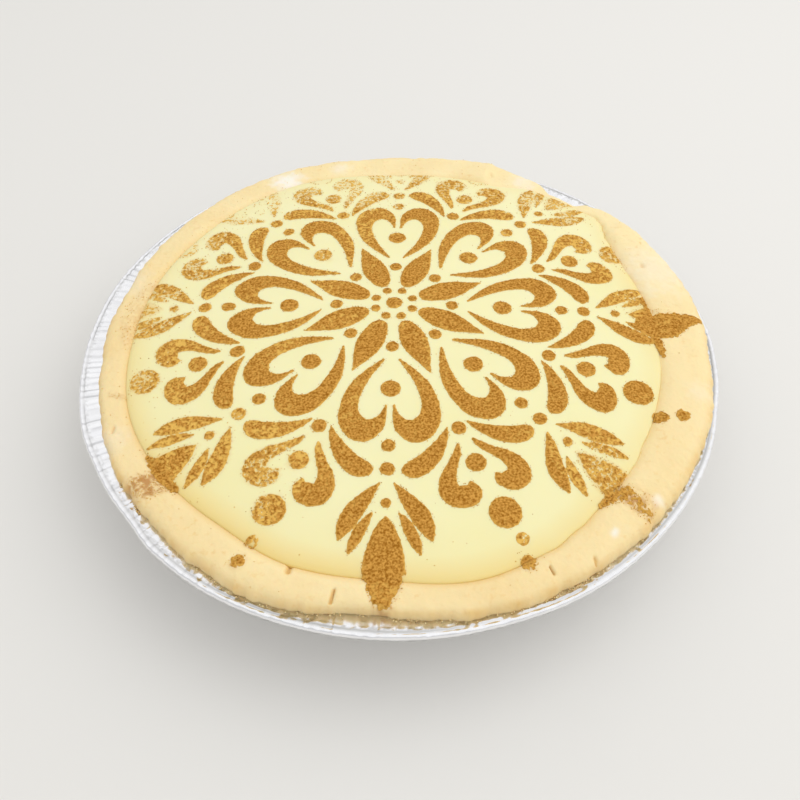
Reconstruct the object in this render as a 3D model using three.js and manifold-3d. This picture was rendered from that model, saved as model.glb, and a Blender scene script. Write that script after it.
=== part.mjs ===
// A baked milk tart in its foil dish: a pastry case, a domed custard and a stencilled cinnamon rosette.
// Millimetres, +Z up, origin at the middle of the dish's base, front of the tart towards -Y.
import * as THREE from 'three';
import { mergeVertices } from 'three/addons/utils/BufferGeometryUtils.js';
import Module from 'manifold-3d';

const wasm = await Module();
wasm.setup();

// Foil dish
const FOIL = 0.5;
const BASE_RADIUS = 85;
const BASE_BEND = 1;
const MOUTH_RADIUS = 101.3;
const MOUTH_BEND = 1;
const FLANGE_INSET = 3.1;
const FLANGE_HEIGHT = 28.6;
const BEAD_RADIUS = 1.4;
const BEAD_TURNS = [-120, -40, 40, 120];
const FLUTES = 64;
const FLUTE_DEPTH = 0.4;

// Pastry case, and its rim's section from the outer edge inwards: [share of the width, share of the rise]
const GAP = 0.4;
const PASTRY_BASE = 5;
const PASTRY_WALL = 5.5;
const PASTRY_CORNER = BASE_RADIUS - FOIL - GAP - 1.2;
const LIP_UNDERSIDE = 30.1;
const LIP_TURN = 31.3;
const LIP_ROUND = 1;
const LIP_REACH = 107.5;
const RIM_SECTION = [[0.96, 0.42], [0.84, 0.78], [0.66, 0.96], [0.45, 1], [0.25, 0.92]];
const INNER_SHOULDER = [0.1, 0.66];
const CREASE_RISE = 0.1;
const CREASE_REACH = 2;
const RING_STEPS = 80;

// Custard and its rosette
const CUSTARD_FLOOR = FOIL + GAP + PASTRY_BASE + GAP;
const CUSTARD_CORNER = PASTRY_CORNER - PASTRY_WALL - GAP;
const DOME_TOP = 39.4;
const DOME_FALL = 0.0005;
const EDGE_ROLL = 1;
const ROSETTE_X = -1.6;
const ROSETTE_Y = 6.2;
const ROSETTE_TURN = -1.94;
const POWDER = 0.4;
const POWDER_ROOT = 1;
const POWDER_EDGE_MARGIN = 3.4;
const THINNEST_STROKE = 0.2;
const SECTORS = 8;
const DOT_SIDES = 7;

// Rings that change round the tart: [degrees from +X towards +Y, value]
const RIM_EDGE = [
  [0, 111], [12, 110.8], [42, 111.2], [60, 110.6], [90, 110.3], [120, 110.9], [140, 111.5], [165, 111.7],
  [178, 111.3], [188, 110.9], [200, 110.8], [211, 109.8], [222, 109.4], [229, 110.5], [240, 110.8],
  [256, 110.6], [272, 110.6], [285, 110.4], [297, 110.8], [318, 110.5], [330, 110.5], [342, 110],
  [350, 110.5],
];
const CUSTARD_EDGE = [
  [0, 89], [18, 89.5], [24, 91], [30, 93.6], [32.5, 96], [35, 99], [37.5, 100.4], [42, 99], [54, 97.6],
  [65, 92], [90, 91], [118, 95], [150, 92.6], [180, 92.5], [206, 94.6], [235, 94], [252, 96.4], [265, 96],
  [283, 98.4], [296, 97], [302, 95.3], [308, 93.8], [320, 92.3], [326, 90.9], [340, 90],
];
const CRUST_EDGE = [
  [0, 108], [28, 108.2], [38, 108], [42, 106], [45, 102.8], [51, 102.5], [55, 105], [58, 106.6], [66, 108.4],
  [90, 107.8], [115, 108.2], [128, 107.6], [140, 106], [150, 104.8], [165, 103.4], [190, 103], [215, 104.8],
  [235, 106.3], [248, 108], [267, 105], [285, 107.8], [320, 107.2], [345, 107.4],
];
const CRUST_TOP = [
  [0, 36.2], [29, 36.2], [36, 34.8], [41, 34.2], [45, 32.5], [51, 32.5], [56, 34], [64.5, 34.4], [68, 36.4],
  [80, 35.2], [90, 33.8], [110, 34.8], [132, 35.2], [150, 35.4], [180, 35.2], [215, 35], [245, 35.2],
  [268, 34.6], [290, 35.2], [325, 35.8],
];

// How far the stencil drifted round the rosette: [degrees, millimetres outwards or ahead]
const DRIFT_OUT = [
  [0, -0.7], [43, 1.7], [88, 0], [133, 0.9], [178, 0], [223, 0.4], [268, 0.7], [313, 0], [358, -0.7],
];
const DRIFT_AHEAD = [
  [0, 0.2], [43, 1], [88, 0], [133, -0.3], [178, 0], [223, 0.4], [268, 0], [313, -0.9], [358, 0.2],
];
const DRIFT_FROM = 40;
const DRIFT_TO = 70;
const CENTRE_SLIP = 1.2;
const CENTRE_REACH = 35;

// Knife nicks in the crust: degrees, radius of the middle, length, turn away from the radius
const NICKS = [
  { at: 259.5, radius: 102.3, length: 4.6, lean: -4 },
  { at: 293.6, radius: 102.6, length: 4, lean: -6 },
  { at: 300.5, radius: 104.5, length: 3, lean: -20 },
];
const NICK_WIDTH = 0.9;
const NICK_DEPTH = 1.6;

// Stencil motifs along one sector: spine stations [across, out from the centre, half width]
const PETAL = [
  [0, 10.6, 0.5], [0, 12.2, 2.7], [0, 15.2, 3.9], [0, 19, 4.5], [0, 23, 3.9], [0, 28, 2.1], [0, 33.4, 0.2],
];
const HEART_STROKE = [
  [2.7, 26, 0.4], [4.6, 28.2, 0.9], [7.3, 31.5, 1.5], [10, 35.7, 2.2], [11.9, 40.2, 2.6], [12.9, 45, 2.9],
  [12.2, 50.4, 3.7], [8.6, 54, 4.2], [4.8, 52.8, 2.9], [2.6, 50, 1.6], [1.6, 46.8, 0.7], [1.3, 44.8, 0.4],
];
const SIDE_LEAF = [
  [18, 52.6, 0.3], [17, 56, 1.3], [14.2, 61.5, 2.6], [10.6, 65.7, 3.2], [7.6, 67.4, 2.9], [5.3, 67.6, 1.2],
];
const SCROLL = [
  [21.3, 58.4, 0.5], [21, 61.3, 1.2], [19.7, 65.3, 1.6], [18.3, 69.4, 2.3], [18.2, 73.4, 3.1],
  [20.1, 76.3, 3.6], [23.2, 76, 3.6], [25.2, 74.2, 2.4], [25, 71.2, 0.4],
];
const PALMETTE_OUTER = [
  [2.3, 72.2, 0.3], [6, 77.2, 2], [9, 81.3, 2.8], [11.3, 85.8, 2.4], [13, 90.2, 0.5],
];
const PALMETTE_INNER = [[3.9, 81.9, 0.3], [6.1, 85.6, 1.5], [8.2, 90, 1.7], [9.9, 94.2, 0.5]];
const PALMETTE_MIDDLE = [[0, 83, 0.3], [0, 87, 2.7], [0, 90, 4], [0, 94.5, 5], [0, 102, 4], [0, 110, 0.4]];

// Strokes of one sector: stations, steps along the outline, whether they lie between the hearts, or in pairs
const STROKES = [
  { stations: PETAL, steps: 6, between: true, paired: false },
  { stations: PALMETTE_MIDDLE, steps: 5, between: false, paired: false },
  { stations: HEART_STROKE, steps: 10, between: false, paired: true },
  { stations: SIDE_LEAF, steps: 5, between: false, paired: true },
  { stations: SCROLL, steps: 7, between: false, paired: true },
  { stations: PALMETTE_OUTER, steps: 4, between: false, paired: true },
  { stations: PALMETTE_INNER, steps: 3, between: false, paired: true },
];

// Dots of the rosette: distance from the centre, radius, and whether they sit between the hearts
const DOT_RINGS = [
  { ring: 6.95, radius: 1.65, between: true },
  { ring: 20.3, radius: 2.2, between: false },
  { ring: 38, radius: 3.3, between: false },
  { ring: 56.8, radius: 2.4, between: true },
  { ring: 59.3, radius: 2.2, between: false },
  { ring: 67.3, radius: 2.3, between: false },
  { ring: 69.9, radius: 3.2, between: true },
  { ring: 78.6, radius: 1.6, between: false },
  { ring: 87.9, radius: 5, between: true },
];
const CENTRE_DOT = 2.9;

const radians = THREE.MathUtils.degToRad;

// Value of a ring at an angle, eased between its stations
function around(stations, angle) {
  const degrees = THREE.MathUtils.euclideanModulo(THREE.MathUtils.radToDeg(angle), 360);
  const next = stations.findIndex(([at]) => at > degrees);
  const after = next < 0 ? [360, stations[0][1]] : stations[next];
  const before = stations[(next < 0 ? stations.length : next) - 1];
  const share = THREE.MathUtils.smoothstep(degrees, before[0], after[0]);
  return THREE.MathUtils.lerp(before[1], after[1], share);
}

// Turned solid whose section may change with the angle; the section runs from the axis, out and back
function turned(section, steps) {
  const geometry = new THREE.LatheGeometry(section(0), steps);
  const count = section(0).length;
  for (let step = 0; step <= steps; step += 1) {
    const angle = ((step % steps) / steps) * 2 * Math.PI;
    section(angle).forEach((point, row) => {
      const index = step * count + row;
      const x = point.x * Math.cos(angle);
      const y = point.x * Math.sin(angle);
      geometry.attributes.position.setXYZ(index, x, y, point.y);
    });
  }
  return bare(geometry);
}

// Geometry with only its positions, and its shared vertices merged
function bare(geometry) {
  geometry.deleteAttribute('normal');
  geometry.deleteAttribute('uv');
  return mergeVertices(geometry, 1e-4);
}

function toSolid(geometry) {
  const vertProperties = new Float32Array(geometry.attributes.position.array);
  const triVerts = new Uint32Array(geometry.index.array);
  return new wasm.Manifold(new wasm.Mesh({ numProp: 3, vertProperties, triVerts }));
}

function toGeometry(solid) {
  const mesh = solid.getMesh();
  const geometry = new THREE.BufferGeometry();
  geometry.setAttribute('position', new THREE.Float32BufferAttribute(mesh.vertProperties, 3));
  geometry.setIndex(Array.from(mesh.triVerts));
  return geometry;
}

// Height of the custard's skin before its rolled edge
function domeHeight(x, y) {
  return DOME_TOP - DOME_FALL * (x * x + y * y);
}

function custardRim(angle) {
  const radius = around(CUSTARD_EDGE, angle);
  const height = domeHeight(radius * Math.cos(angle), radius * Math.sin(angle)) - EDGE_ROLL;
  return new THREE.Vector2(radius, height);
}

// Foil dish: flat base, fluted wall, crimped flange and a rolled bead at the rim
function dishGeometry() {
  const section = (angle) => {
    const flute = FLUTE_DEPTH * Math.cos(FLUTES * angle);
    const rim = around(RIM_EDGE, angle);
    const flange = rim - FLANGE_INSET;
    const points = [
      new THREE.Vector2(0, 0),
      new THREE.Vector2(BASE_RADIUS - BASE_BEND, 0),
      new THREE.Vector2(BASE_RADIUS, BASE_BEND),
      new THREE.Vector2(MOUTH_RADIUS + flute, FLANGE_HEIGHT - MOUTH_BEND),
      new THREE.Vector2(MOUTH_RADIUS + MOUTH_BEND, FLANGE_HEIGHT + flute),
      new THREE.Vector2(flange, FLANGE_HEIGHT + flute),
    ];
    for (const turn of BEAD_TURNS) {
      const x = rim - BEAD_RADIUS + BEAD_RADIUS * Math.cos(radians(turn));
      const y = FLANGE_HEIGHT + FOIL / 2 + BEAD_RADIUS * Math.sin(radians(turn));
      points.push(new THREE.Vector2(x, y));
    }
    points.push(
      new THREE.Vector2(flange, FLANGE_HEIGHT + FOIL + flute),
      new THREE.Vector2(MOUTH_RADIUS + MOUTH_BEND - FOIL / 2, FLANGE_HEIGHT + FOIL + flute),
      new THREE.Vector2(MOUTH_RADIUS - FOIL + flute, FLANGE_HEIGHT - MOUTH_BEND + FOIL / 2),
      new THREE.Vector2(BASE_RADIUS - FOIL, BASE_BEND + FOIL / 2),
      new THREE.Vector2(BASE_RADIUS - BASE_BEND - FOIL, FOIL),
      new THREE.Vector2(0, FOIL),
    );
    return points;
  };
  return turned(section, 2 * FLUTES);
}

// Pastry case: base and wall inside the dish, and a soft uneven rim that lies out over the flange
function crustGeometry() {
  const bottom = FOIL + GAP;
  const mouth = MOUTH_RADIUS - FOIL - FLUTE_DEPTH - GAP;
  const section = (angle) => {
    const inner = custardRim(angle);
    const outer = around(CRUST_EDGE, angle);
    const top = around(CRUST_TOP, angle);
    const across = (share) => inner.x + share * (outer - inner.x);
    const rise = (share) => LIP_TURN + share * (top - LIP_TURN);
    const points = [
      new THREE.Vector2(0, bottom),
      new THREE.Vector2(PASTRY_CORNER, bottom),
      new THREE.Vector2(mouth, FLANGE_HEIGHT - MOUTH_BEND),
      new THREE.Vector2(MOUTH_RADIUS - GAP, LIP_UNDERSIDE),
      new THREE.Vector2(Math.min(outer - LIP_ROUND, LIP_REACH), LIP_UNDERSIDE),
      new THREE.Vector2(outer, LIP_TURN),
    ];
    for (const [width, height] of RIM_SECTION) {
      points.push(new THREE.Vector2(across(width), rise(height)));
    }
    const [shoulder, shoulderRise] = INNER_SHOULDER;
    points.push(
      new THREE.Vector2(across(shoulder), Math.max(rise(shoulderRise), inner.y + CREASE_RISE)),
      new THREE.Vector2(inner.x - CREASE_REACH, inner.y - EDGE_ROLL),
      new THREE.Vector2(0, LIP_UNDERSIDE),
    );
    return points;
  };
  let crust = toSolid(turned(section, RING_STEPS)).subtract(custardRoom());
  for (const nick of NICKS) {
    crust = crust.subtract(toSolid(nickGeometry(nick)));
  }
  return toGeometry(crust);
}

// Room that the custard takes out of the pastry, with a hair's gap all round
function custardRoom() {
  const section = (angle) => {
    const rim = custardRim(angle);
    return [
      new THREE.Vector2(0, CUSTARD_FLOOR - GAP),
      new THREE.Vector2(CUSTARD_CORNER + GAP, CUSTARD_FLOOR - GAP),
      new THREE.Vector2(rim.x + GAP, rim.y),
      new THREE.Vector2(rim.x + GAP, DOME_TOP),
      new THREE.Vector2(0, DOME_TOP),
    ];
  };
  return toSolid(turned(section, RING_STEPS));
}

// Wedge that opens a short knife nick in the top of the crust
function nickGeometry({ at, radius, length, lean }) {
  const wedge = new THREE.CylinderGeometry(NICK_DEPTH, NICK_DEPTH, length, 3);
  wedge.rotateY(Math.PI);
  wedge.scale(NICK_WIDTH / NICK_DEPTH, 1, 2);
  wedge.rotateZ(radians(at + lean - 90));
  const top = around(CRUST_TOP, radians(at));
  wedge.translate(radius * Math.cos(radians(at)), radius * Math.sin(radians(at)), top);
  return bare(wedge);
}

// Outline of a stencil stroke whose half width rides along its spine
function strokeOutline(stations, steps) {
  const spine = new THREE.CatmullRomCurve3(stations.map((station) => new THREE.Vector3(...station)));
  const near = [];
  const far = [];
  for (let step = 0; step <= steps; step += 1) {
    const point = spine.getPoint(step / steps);
    const along = spine.getTangent(step / steps);
    const side = new THREE.Vector2(-along.y, along.x);
    side.normalize().multiplyScalar(Math.max(point.z, THINNEST_STROKE));
    near.push(new THREE.Vector2(point.x + side.x, point.y + side.y));
    far.unshift(new THREE.Vector2(point.x - side.x, point.y - side.y));
  }
  return [...near, ...far];
}

function dotOutline(ring, radius) {
  const outline = [];
  for (let side = 0; side < DOT_SIDES; side += 1) {
    const turn = (side / DOT_SIDES) * 2 * Math.PI;
    outline.push(new THREE.Vector2(radius * Math.cos(turn), ring + radius * Math.sin(turn)));
  }
  return outline;
}

function mirrored(outline) {
  return outline.map((point) => new THREE.Vector2(-point.x, point.y)).reverse();
}

// Outline moved as the stencil drifted: its outside round the rosette, and its middle back towards +Y
function drifted(outline, degrees) {
  const turn = radians(degrees);
  const out = around(DRIFT_OUT, turn + Math.PI / 2);
  const ahead = around(DRIFT_AHEAD, turn + Math.PI / 2);
  return outline.map((point) => {
    const share = THREE.MathUtils.smoothstep(point.y, DRIFT_FROM, DRIFT_TO);
    const slip = CENTRE_SLIP * (1 - THREE.MathUtils.smoothstep(point.length(), 0, CENTRE_REACH));
    const x = point.x - share * ahead + slip * Math.sin(turn);
    const y = point.y + share * out + slip * Math.cos(turn);
    return new THREE.Vector2(x, y);
  });
}

// Motifs of one sector, and the turn from the heart's axis at which each one is laid
function sectorMotifs() {
  const halfSector = 180 / SECTORS;
  const motifs = [];
  for (const { stations, steps, between, paired } of STROKES) {
    const outline = strokeOutline(stations, steps);
    motifs.push({ outline, turn: between ? halfSector : 0 });
    if (paired) {
      motifs.push({ outline: mirrored(outline), turn: 0 });
    }
  }
  for (const { ring, radius, between } of DOT_RINGS) {
    motifs.push({ outline: dotOutline(ring, radius), turn: between ? halfSector : 0 });
  }
  return motifs;
}

// One motif as a low plate, laid round the rosette's centre on a flat top
function motifPlate(outline, degrees, level) {
  const shape = new THREE.Shape(drifted(outline, degrees));
  const plate = new THREE.ExtrudeGeometry(shape, { depth: POWDER_ROOT + POWDER, bevelEnabled: false });
  plate.rotateZ(radians(degrees));
  plate.translate(ROSETTE_X, ROSETTE_Y, level - POWDER_ROOT);
  return toSolid(bare(plate));
}

function rosettePlates(level) {
  let plates = motifPlate(dotOutline(0, CENTRE_DOT), 0, level);
  for (let sector = 0; sector < SECTORS; sector += 1) {
    for (const { outline, turn } of sectorMotifs()) {
      const degrees = 180 + ROSETTE_TURN + turn + (sector * 360) / SECTORS;
      plates = plates.add(motifPlate(outline, degrees, level));
    }
  }
  return plates;
}

// Flat-topped disc of custard out to its edge, drawn in by a margin
function custardDisc(level, margin) {
  const section = (angle) => {
    const rim = around(CUSTARD_EDGE, angle) - margin;
    return [
      new THREE.Vector2(0, CUSTARD_FLOOR),
      new THREE.Vector2(CUSTARD_CORNER, CUSTARD_FLOOR),
      new THREE.Vector2(rim, level - EDGE_ROLL),
      new THREE.Vector2(rim - EDGE_ROLL, level),
      new THREE.Vector2(0, level),
    ];
  };
  return toSolid(turned(section, RING_STEPS));
}

// Custard: the disc with the rosette in low relief, then its top lifted to the dome
function custardGeometry() {
  const stencil = rosettePlates(DOME_TOP).intersect(custardDisc(DOME_TOP + EDGE_ROLL, POWDER_EDGE_MARGIN));
  const geometry = toGeometry(custardDisc(DOME_TOP, 0).add(stencil));
  const position = geometry.attributes.position;
  for (let index = 0; index < position.count; index += 1) {
    const z = position.getZ(index);
    if (z > CUSTARD_FLOOR + GAP) {
      position.setZ(index, z + domeHeight(position.getX(index), position.getY(index)) - DOME_TOP);
    }
  }
  return geometry;
}

function node(name, geometry, look) {
  geometry.computeVertexNormals();
  const mesh = new THREE.Mesh(geometry, new THREE.MeshStandardMaterial(look));
  mesh.name = name;
  return mesh;
}

const tart = new THREE.Group();
tart.add(node('dish', dishGeometry(), { color: 0xedecf1, roughness: 0.35, metalness: 1 }));
tart.add(node('crust', crustGeometry(), { color: 0xf6dca8, roughness: 0.8, metalness: 0 }));
tart.add(node('custard', custardGeometry(), { color: 0xf9f0b8, roughness: 0.45, metalness: 0 }));

export default tart;
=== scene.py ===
"""Looks of a milk tart in its foil dish: pale pastry, domed custard and a stencilled cinnamon rosette."""

import math

import bpy
import numpy as np
from mathutils import Matrix


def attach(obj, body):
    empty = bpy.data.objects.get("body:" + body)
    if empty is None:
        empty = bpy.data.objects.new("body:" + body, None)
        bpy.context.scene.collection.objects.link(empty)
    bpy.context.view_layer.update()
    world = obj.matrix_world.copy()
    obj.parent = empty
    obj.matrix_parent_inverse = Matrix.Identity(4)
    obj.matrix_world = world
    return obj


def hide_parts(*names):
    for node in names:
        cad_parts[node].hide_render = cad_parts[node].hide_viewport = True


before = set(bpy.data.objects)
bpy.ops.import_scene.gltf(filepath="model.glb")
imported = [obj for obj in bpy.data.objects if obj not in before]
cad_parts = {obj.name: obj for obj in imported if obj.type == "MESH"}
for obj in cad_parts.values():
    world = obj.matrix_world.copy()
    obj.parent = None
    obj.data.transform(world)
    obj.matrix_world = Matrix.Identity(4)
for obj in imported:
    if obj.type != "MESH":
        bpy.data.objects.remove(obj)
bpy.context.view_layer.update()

MM = 0.001

# Foil dish, in millimetres; the bead turns (from degrees, to degrees, points)
FOIL = 0.5
BASE_RADIUS = 85.0
BASE_HUB = 55.0
WALL_FOOT = 1.4 * FOIL
MOUTH_RADIUS = 101.3
MOUTH_BEND = 0.9
FLANGE_HEIGHT = 28.6
FLANGE_RISE = 0.5
FRONT_SAG = 0.15
SAG_AT = 270.0
SAG_SPREAD = 40.0
SWAY_RING = 60.0
RIM_RADIUS = 110.5
GROOVE_INSET = 1.9
GROOVE_DEPTH = 0.35
BEAD_HALF_WIDTH = 0.95
BEAD_RADIUS = 1.4
BEAD_LEVEL = FLANGE_HEIGHT - 0.32
BEAD_TURNS = (-140, 104, 12)
BEAD_CRIMP = 0.07
PLEATS = 240
PLEAT_COLUMNS = 7
PLEAT_HEIGHT = 0.15
PLEAT_SHIFT = 0.42
PLEAT_SHARES = (0.1, 1.4)
# Shares of painted shade on some pleats, under the bead and in specks beside the groove
PLEAT_PAINTED_SHADE = 0.12
BEAD_PAINTED_SHADE = 0.8
SPECK_PAINTED_SHADE = 0.8
WALL_FLUTE = 0.4

# Pastry case, in millimetres; the crest's start and end are shares across the rim, and curves are powers
GAP = 0.4
PASTRY_BASE = 5.0
PASTRY_WALL = 5.5
PASTRY_CORNER = BASE_RADIUS - FOIL - GAP - 1.2
PASTRY_HUB = 40.0
CREASE_DROP = 0.15
LIP_UNDERSIDE = 29.3
LIP_TURN = 31.0
CREST_START = 0.34
CREST_END = 0.56
CREST_FALL = 0.35
INNER_CURVE = (2.2, 1.15)
OUTER_CURVE = (2.8, 2.2)
CRUST_COLUMNS = 1280
CRUST_ROWS = 42
LIP_REACH = 107.5
TUCK = 0.6

# Custard, in millimetres
CUSTARD_FLOOR = FOIL + GAP + PASTRY_BASE + GAP
CUSTARD_CORNER = PASTRY_CORNER - PASTRY_WALL - GAP
DOME_TOP = 39.4
DOME_FALL = 0.0005
EDGE_ROLL = 0.8
ROLL_REACH = 3.0
CUSTARD_COLUMNS = 400
CUSTARD_ROWS = 56

# Rings that change round the tart: (degrees from +X towards +Y, millimetres)
RIM_EDGE = (
    (0, 111), (12, 110.8), (42, 111.2), (60, 110.6), (90, 110.3), (120, 110.9), (140, 111.5), (165, 111.7),
    (178, 111.3), (188, 110.9), (200, 110.8), (211, 109.8), (222, 109.4), (229, 110.5), (240, 110.8),
    (256, 110.6), (272, 110.6), (285, 110.4), (297, 110.8), (318, 110.5), (330, 110.5), (342, 110),
    (350, 110.5),
)
CUSTARD_EDGE = (
    (0, 89), (18, 89.5), (24, 91), (30, 93.6), (32.5, 96), (35, 99), (37.5, 100.4), (42, 99), (54, 97.6),
    (65, 92), (90, 91), (118, 95), (150, 92.6), (180, 92.5), (206, 94.6), (235, 94), (252, 96.4), (265, 96),
    (283, 98.4), (296, 97), (302, 95.3), (308, 93.8), (320, 92.3), (326, 90.9), (340, 90),
)
CRUST_EDGE = (
    (0, 108), (28, 108.2), (38, 108), (42, 106), (45, 102.8), (51, 102.5), (55, 105), (58, 106.6),
    (66, 108.4), (90, 107.8), (115, 108.2), (128, 107.6), (140, 106), (150, 104.8), (165, 103.4), (190, 103),
    (215, 104.8), (235, 106.3), (248, 108), (267, 105), (285, 107.8), (320, 107.2), (345, 107.4),
)
CRUST_TOP = (
    (0, 36.2), (29, 36.2), (36, 34.8), (41, 34.2), (45, 32.5), (51, 32.5), (56, 34), (64.5, 34.4), (68, 36.4),
    (80, 35.2), (90, 33.8), (110, 34.8), (132, 35.2), (150, 35.4), (180, 35.2), (215, 35), (245, 35.2),
    (268, 34.6), (290, 35.2), (325, 35.8),
)

# How golden the crust baked, and how deep in colour the custard's edge and the crust's crease are, part real
# colour and part painted shade: (degrees, share)
BAKED = (
    (0, 0.03), (20, 0), (60, 0), (90, 0.04), (120, 0.06), (150, 0.14), (180, 0.22), (205, 0.18), (225, 0.13),
    (245, 0.1), (270, 0.1), (285, 0.15), (300, 0.15), (320, 0.14), (340, 0.05),
)
EDGE_GOLD_AND_SHADE = (
    (0, 0.8), (30, 0.4), (90, 0.3), (150, 0.25), (180, 0.5), (200, 0.7), (225, 0.9), (255, 1), (270, 0.9),
    (285, 0.85), (300, 0.65), (330, 0.45), (345, 0.4),
)

# How far in from the crust the custard's deeper colour, part real and part painted shade, reaches, faint and
# strong, in millimetres
FAINT_REACH = 26.0
STRONG_REACH = 8.0

# How golden the crust is at its crease (partly painted shade), lip and slits; how much painted shade darkens
# the deepest slits; and how much dust lies on the rim
CREASE_GOLD_AND_SHADE = 0.3
CREASE_WIDTH = 2.4
LIP_GOLD = 0.6
SLIT_GOLD = 0.6
SLIT_PAINTED_SHADE = 0.45
RIM_DUST = 0.75

# How strongly painted shade darkens the foil in the groove beside the bead and the specks by it: (degrees,
# share)
GROOVE_SHADE = (
    (0, 0.9), (60, 0.6), (120, 0.35), (200, 0.25), (225, 0.45), (255, 0.75), (272, 0.6), (285, 0.2),
    (298, 0.4), (315, 0.65),
)

# Marks in the crust's rim: (degrees, radius, half length, lean in degrees from the radius, half width, depth)
SLITS = (
    (251.5, 97.2, 1.4, 10, 0.8, 1.2), (259.5, 102.3, 1.7, -4, 0.4, 1.5), (293.6, 102.6, 1.2, -6, 0.3, 1.4),
    (300.5, 105.6, 0.8, -20, 0.5, 1.0), (18, 96, 0.5, 70, 0.8, 0.9), (206, 100.5, 0.9, 60, 0.5, 0.7),
    (66, 98.5, 0.9, 30, 0.5, 0.5),
)

# Flour left on the rim: (degrees, radius, reach, share)
FLOUR = (
    (306, 102.5, 2, 0.9), (316, 104, 2.6, 0.6), (118, 99, 9, 0.95), (104, 100, 6, 0.4), (16, 100, 18, 0.35),
    (342, 102, 6, 0.2), (166, 101, 9, 0.2), (208, 102, 8, 0.25), (58, 101, 8, 0.45),
)

# Rosette: where it lies, and its strokes as spine stations (across, out from the centre, half width)
ROSETTE_X = -1.6
ROSETTE_Y = 6.2
ROSETTE_TURN = -1.94
SECTORS = 8
PETAL = (
    (0, 10.6, 0.5), (0, 12.2, 2.7), (0, 15.2, 3.9), (0, 19, 4.5), (0, 23, 3.9), (0, 28, 2.1), (0, 33.4, 0.2),
)
HEART_STROKE = (
    (2.7, 26, 0.4), (4.6, 28.2, 0.9), (7.3, 31.5, 1.5), (10, 35.7, 2.2), (11.9, 40.2, 2.6), (12.9, 45, 2.9),
    (12.2, 50.4, 3.7), (8.6, 54, 4.2), (4.8, 52.8, 2.9), (2.6, 50, 1.6), (1.6, 46.8, 0.7), (1.3, 44.8, 0.4),
)
SIDE_LEAF = (
    (18, 52.6, 0.3), (17, 56, 1.3), (14.2, 61.5, 2.6), (10.6, 65.7, 3.2), (7.6, 67.4, 2.9), (5.3, 67.6, 1.2),
)
SCROLL = (
    (21.3, 58.4, 0.5), (21, 61.3, 1.2), (19.7, 65.3, 1.6), (18.3, 69.4, 2.3), (18.2, 73.4, 3.1),
    (20.1, 76.3, 3.6), (23.2, 76, 3.6), (25.2, 74.2, 2.4), (25, 71.2, 0.4),
)
PALMETTE_OUTER = ((2.3, 72.2, 0.3), (6, 77.2, 2), (9, 81.3, 2.8), (11.3, 85.8, 2.4), (13, 90.2, 0.5))
PALMETTE_INNER = ((3.9, 81.9, 0.3), (6.1, 85.6, 1.5), (8.2, 90, 1.7), (9.9, 94.2, 0.5))
PALMETTE_MIDDLE = (
    (0, 83, 0.3), (0, 87, 2.7), (0, 90, 4), (0, 94.5, 5.3), (0, 98.5, 5.8), (0, 103, 4.4), (0, 108, 2.3),
    (0, 112, 0.5),
)
ROSETTE_REACH = 112.0

# Depth of points that lie outside every stroke, in millimetres
OUTSIDE = -99.0

# Front palmette, whose middle leaf is full and runs over the crease: degrees, and millimetres off the others
FRONT_LEAF = -92.0
FRONT_SPREAD = 12.0
MIDDLE_TRIM = 0.5

# How far the stencil drifted round the rosette: (degrees, millimetres outwards or ahead)
DRIFT_OUT = (
    (0, -0.7), (43, 1.7), (88, 0), (133, 0.9), (178, 0), (223, 0.4), (268, 0.7), (313, 0), (358, -0.7),
)
DRIFT_AHEAD = (
    (0, 0.2), (43, 1), (88, 0), (133, -0.3), (178, 0), (223, 0.4), (268, 0), (313, -0.9), (358, 0.2),
)
DRIFT_FROM = 40.0
DRIFT_REACH = 30.0
HEART_DRIFT = ((0, 0), (43, 0.1), (88, 0.3), (133, 1), (178, -1), (223, -0.2), (268, 0))
HEART_RINGS = (22.0, 32.0, 54.0, 62.0)
TIPS_AHEAD = (
    (0, 0), (20, -1.3), (40, 0), (268, 0), (290, 1.2), (306, -0.9), (319, -1.2), (336, -2), (352, 0),
)
TIPS_FROM = 76.0
TIPS_REACH = 8.0
CENTRE_SLIP = 1.2
CENTRE_REACH = 35.0

# Dots of the rosette: (distance from the centre, radius, lies between the hearts)
DOTS = (
    (0, 2.9, False), (6.95, 1.65, True), (20.3, 2.2, False), (38, 3.3, False), (56.8, 2.4, True),
    (59.3, 2.2, False), (67.3, 2.3, False), (69.9, 3.2, True), (78.6, 1.6, False), (87.9, 5, True),
)

# Dots that fell near and on the rim: (degrees, radius from the middle of the dish, size)
RIM_DOTS = (
    (333, 92.2, 2.5), (335, 98.3, 2.2), (292, 91, 2.0), (291, 98, 2.3), (243.5, 94, 1.9), (243.5, 101, 2.0),
)

# How well the powder took on the rim: (degrees, share)
RIM_COVER = (
    (0, 0.1), (20, 0.1), (38, 0.1), (46, 0.12), (56, 0.1), (66, -0.25), (140, -0.3), (178, -0.05),
    (205, 0.05), (228, 0.1), (244, 0.75), (268, 0.75), (291, 0.5), (313, 0.1), (328, 0.97), (338, 0.97),
    (346, 0.5),
)

# Powder spilt over the crease and rim: share taken, then its spine as (x, y, half width)
SPILLS = (
    (0.98, (
        (86.5, -1.2, 4.2), (89, -1.9, 5.6), (93, -1.5, 5.8), (98.3, 0.1, 4), (102.9, 0.9, 2.2),
        (107.2, 1.1, 0.3),
    )),
    (0.97, ((87.8, 12.1, 0.5), (88.7, 2.9, 1.2), (88.8, -8, 1.7), (89.5, -15.3, 0.6))),
    (0.45, ((58.1, -73.7, 0.7), (62.3, -70.9, 1.9), (66.5, -68.7, 1.4))),
    (0.08, (
        (63.5, -70.3, 2.2), (67.3, -71.7, 2.1), (69.1, -74.3, 1.7), (70.9, -76.8, 1.2), (72.3, -78.6, 0.5),
    )),
    (0.9, ((-78, -53.8, 0.7), (-72.2, -61, 1.8), (-66.8, -66.7, 1.1))),
)

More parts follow.
